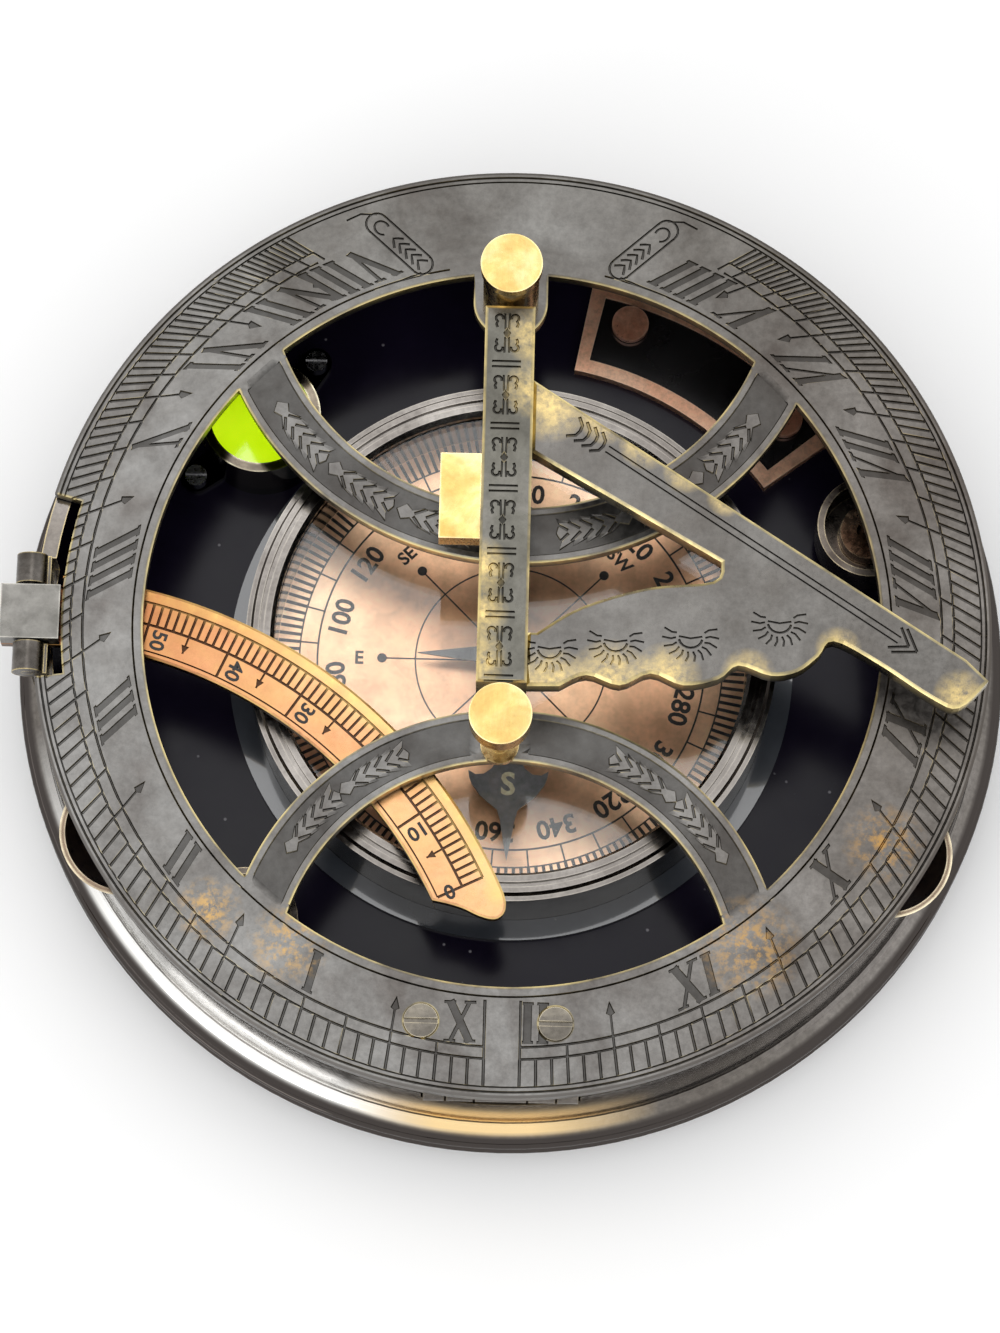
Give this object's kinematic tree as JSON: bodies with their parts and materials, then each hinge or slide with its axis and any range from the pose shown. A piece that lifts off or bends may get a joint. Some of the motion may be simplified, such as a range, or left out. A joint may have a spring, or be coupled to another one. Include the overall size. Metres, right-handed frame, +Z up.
{
  "type": "folding sundial compass",
  "caption": "Round brass case with a compass and level under a hinged hour ring that carries a folding gnomon, set by a folding latitude arc and levelling screws",
  "frame": {"origin": "centre of the round case, on the table plane under the feet", "axes": "+Z up out of the dial, +Y towards the south post, -Y towards the noon numeral and the ring's hinge"},
  "size_m": [0.1272, 0.1264, 0.044],
  "materials": {
    "antique_bronze": "antiqued, worn bright on its edges",
    "black_lacquer": "gloss",
    "steel_screw": "satin",
    "bright_brass": "brushed",
    "aged_brass": "satin",
    "copper_card": "coppery, brushed",
    "copper_arc": "coppery, satin",
    "copper_plate": "coppery, worn",
    "black_field": "matt",
    "glass_clear": "polished",
    "level_green": "clear liquid",
    "dark_nickel": "dark polished",
    "needle_grey": "satin",
    "magnet_black": "satin",
    "steel_block": "satin"
  },
  "bodies": {
    "case": {"case_shell": "antique_bronze", "floor_plate": "black_lacquer", "floor_screws": "steel_screw", "notch_lips": "bright_brass", "compass_seat": "black_lacquer", "compass_cup": "dark_nickel", "compass_dial": "copper_card", "dial_pivot_pin": "bright_brass", "glass_seat_ring": "dark_nickel", "compass_glass": "glass_clear", "compass_bezel": "antique_bronze", "level_cup": "dark_nickel", "level_liquid": "level_green", "level_glass": "glass_clear", "level_screws": "dark_nickel", "name_plate": "copper_plate", "plate_field": "black_field", "plate_rivets": "copper_plate", "leveling_bosses": "antique_bronze", "fixed_foot": "aged_brass", "case_hinge_leaf": "aged_brass", "case_leaf_screws": "steel_screw", "ring_hinge_pin": "aged_brass", "arc_hinge_bracket": "antique_bronze", "arc_hinge_pin": "steel_screw"},
    "needle": {"needle_pointer": "needle_grey", "needle_magnet": "magnet_black", "needle_cap": "bright_brass"},
    "ring": {"ring_hinge_leaf": "aged_brass", "ring_leaf_screws": "steel_screw", "hour_ring": "antique_bronze", "south_post": "aged_brass", "north_post": "aged_brass", "south_head": "bright_brass", "north_head": "bright_brass"},
    "gnomon": {"gnomon_bar": "antique_bronze", "gnomon_plate": "antique_bronze", "gnomon_stop": "bright_brass", "gnomon_pivots": "aged_brass"},
    "arc": {"latitude_arc": "copper_arc", "arc_root_block": "steel_block"},
    "screw_right": {"leveling_screw_right": "aged_brass"},
    "screw_front": {"leveling_screw_front": "aged_brass"}
  },
  "joints": [
    {"name": "ring_tilt", "type": "hinge", "parent": "case", "child": "ring", "pos_m": [0, -0.0588, 0.024], "axis": [1, 0, 0], "range_deg": [0, 100]},
    {"name": "arc_fold", "type": "hinge", "parent": "case", "child": "arc", "pos_m": [-0.0604, 0, 0.026], "axis": [0, -1, 0], "range_deg": [0, 60]},
    {"name": "gnomon_fold", "type": "hinge", "parent": "ring", "child": "gnomon", "pos_m": [-0.0012, 0, 0.0358], "axis": [0, -1, 0], "range_deg": [0, 90]},
    {"name": "needle_spin", "type": "hinge", "parent": "case", "child": "needle", "pos_m": [0, 0, 0.0138], "axis": [0, 0, 1], "continuous": true},
    {"name": "screw_right_travel", "type": "slide", "parent": "case", "child": "screw_right", "axis": [0, 0, 1], "range_m": [-0.0015, 0.0015]},
    {"name": "screw_front_travel", "type": "slide", "parent": "case", "child": "screw_front", "axis": [0, 0, 1], "range_m": [-0.0015, 0.0015]}
  ],
  "couplings": [
    {"joint": "arc_fold", "follows": "ring_tilt", "ratio": 0.6}
  ]
}
